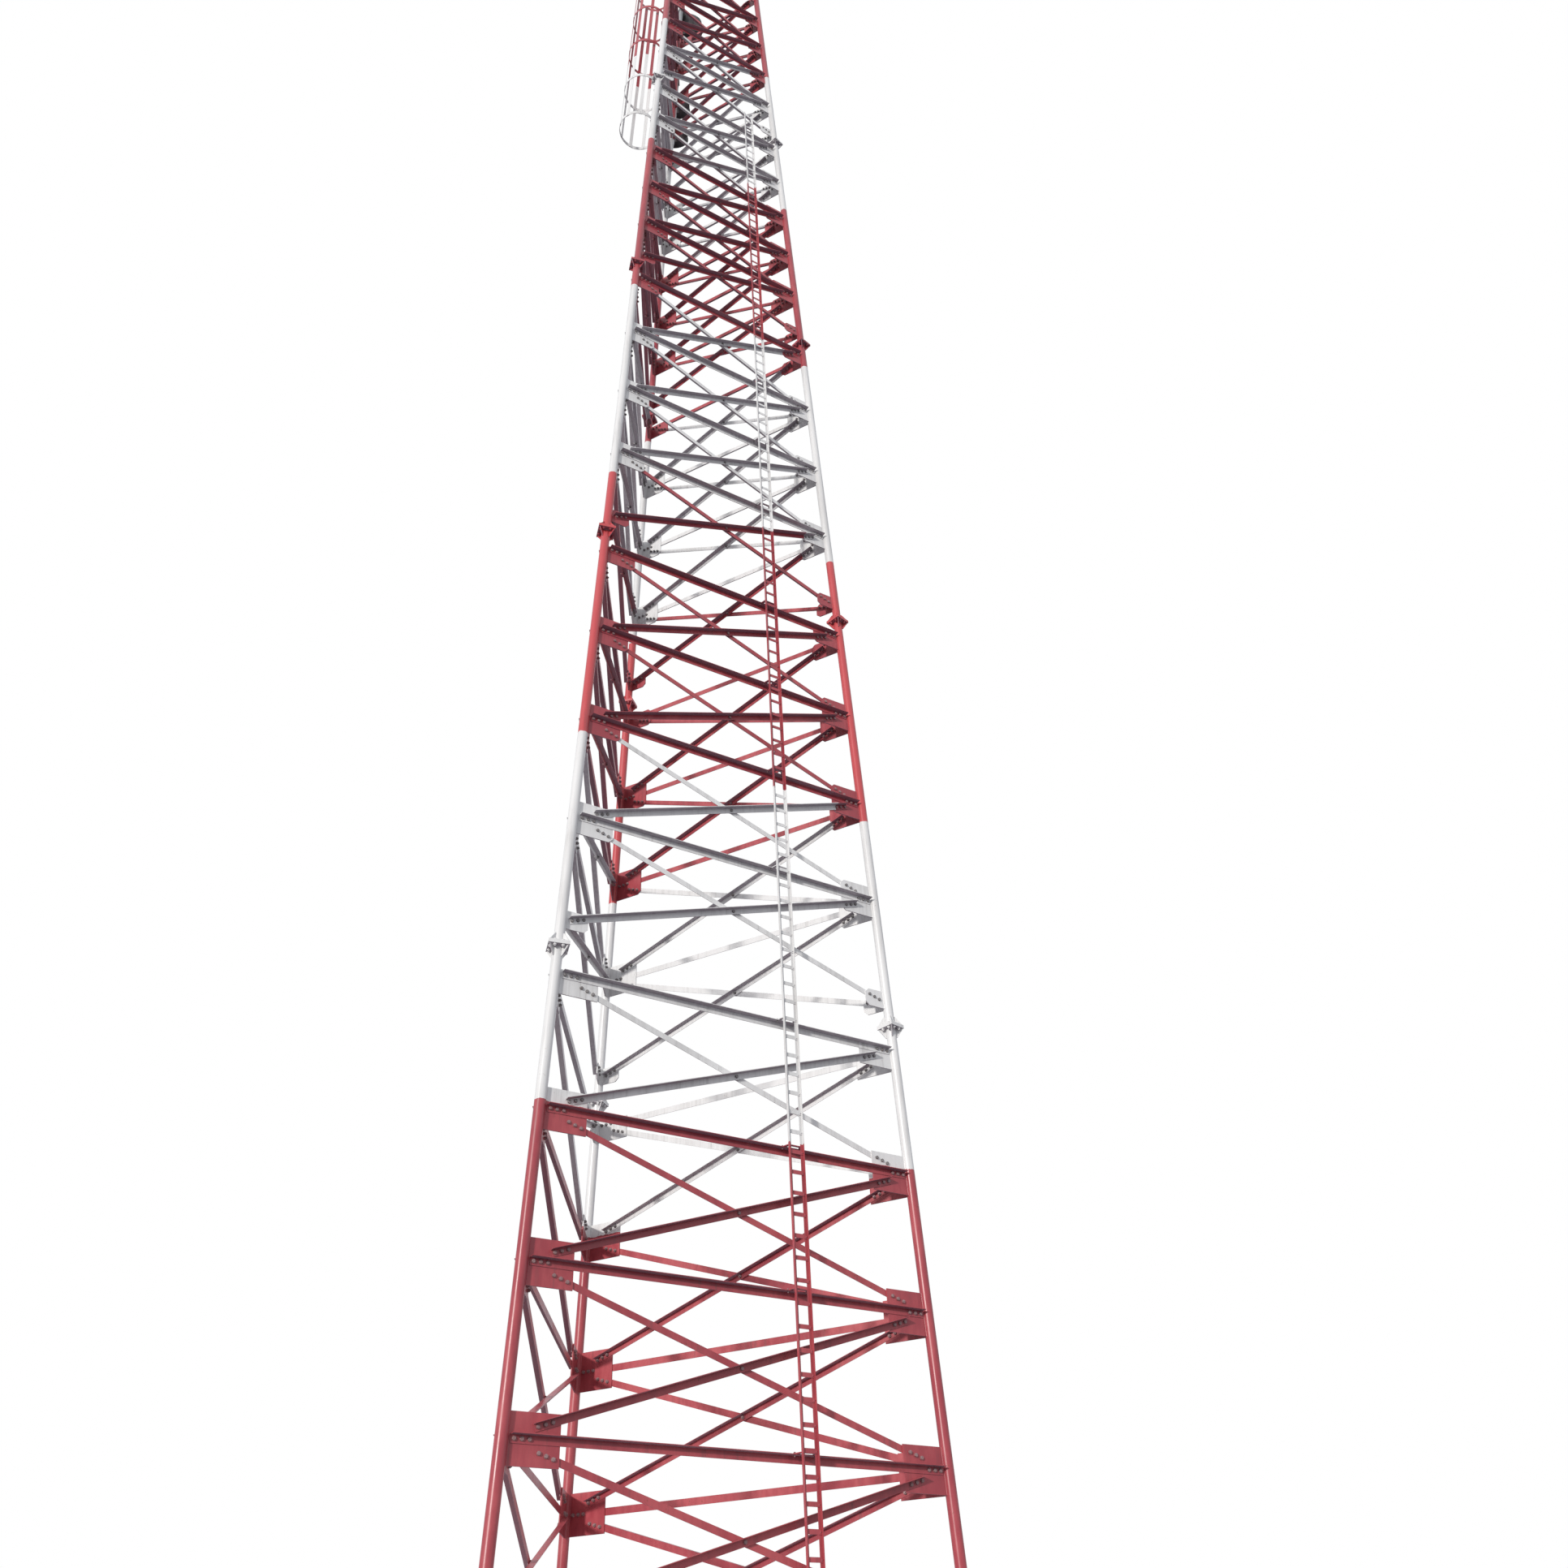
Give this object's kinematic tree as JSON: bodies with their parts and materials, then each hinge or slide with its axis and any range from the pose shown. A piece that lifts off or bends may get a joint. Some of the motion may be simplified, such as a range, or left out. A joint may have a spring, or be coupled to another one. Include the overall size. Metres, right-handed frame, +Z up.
{
  "type": "self-supporting lattice radio mast",
  "caption": "Three-sided tapering lattice radio mast of tubular legs and crossed angle steel bracing, with a cable ladder, a caged ladder and drum antennas.",
  "frame": {"origin": "centre of the underside of the left front leg's foot plate, on the footing", "axes": "+Z up, +X along the front side from the left leg to the right leg, +Y from the front side to the back leg"},
  "size_m": [4.931, 4.2704, 31.7002],
  "materials": {
    "banded_paint": "weathered paint in red and white bands",
    "red_paint": "weathered red paint",
    "white_paint": "weathered white paint",
    "galvanised_steel": "dull galvanised steel",
    "drum_shell": "grey painted shell"
  },
  "bodies": {
    "root": {"antenna_arms": "galvanised_steel", "antenna_pipe": "galvanised_steel", "antenna_post": "galvanised_steel", "back_leg": "banded_paint", "cable_ladder_brackets": "banded_paint", "cable_ladder_rails": "banded_paint", "cable_ladder_rungs": "banded_paint", "cage_hoops": "banded_paint", "cage_straps": "banded_paint", "foot_plates": "galvanised_steel", "front_bracing_1": "red_paint", "front_bracing_2": "white_paint", "front_bracing_3": "red_paint", "front_bracing_4": "white_paint", "front_bracing_5": "red_paint", "front_bracing_6": "white_paint", "front_bracing_7": "red_paint", "front_gussets": "banded_paint", "ladder_brackets": "banded_paint", "ladder_rungs": "banded_paint", "ladder_stiles": "banded_paint", "large_drum": "drum_shell", "left_bracing_1": "red_paint", "left_bracing_2": "white_paint", "left_bracing_3": "red_paint", "left_bracing_4": "white_paint", "left_bracing_5": "red_paint", "left_bracing_6": "white_paint", "left_bracing_7": "red_paint", "left_gussets": "banded_paint", "left_leg": "banded_paint", "right_bracing_1": "red_paint", "right_bracing_2": "white_paint", "right_bracing_3": "red_paint", "right_bracing_4": "white_paint", "right_bracing_5": "red_paint", "right_bracing_6": "white_paint", "right_bracing_7": "red_paint", "right_gussets": "banded_paint", "right_leg": "banded_paint", "small_drums": "drum_shell", "splice_lower_plates": "banded_paint", "splice_upper_plates": "banded_paint", "top_plates": "banded_paint"}
  },
  "joints": []
}
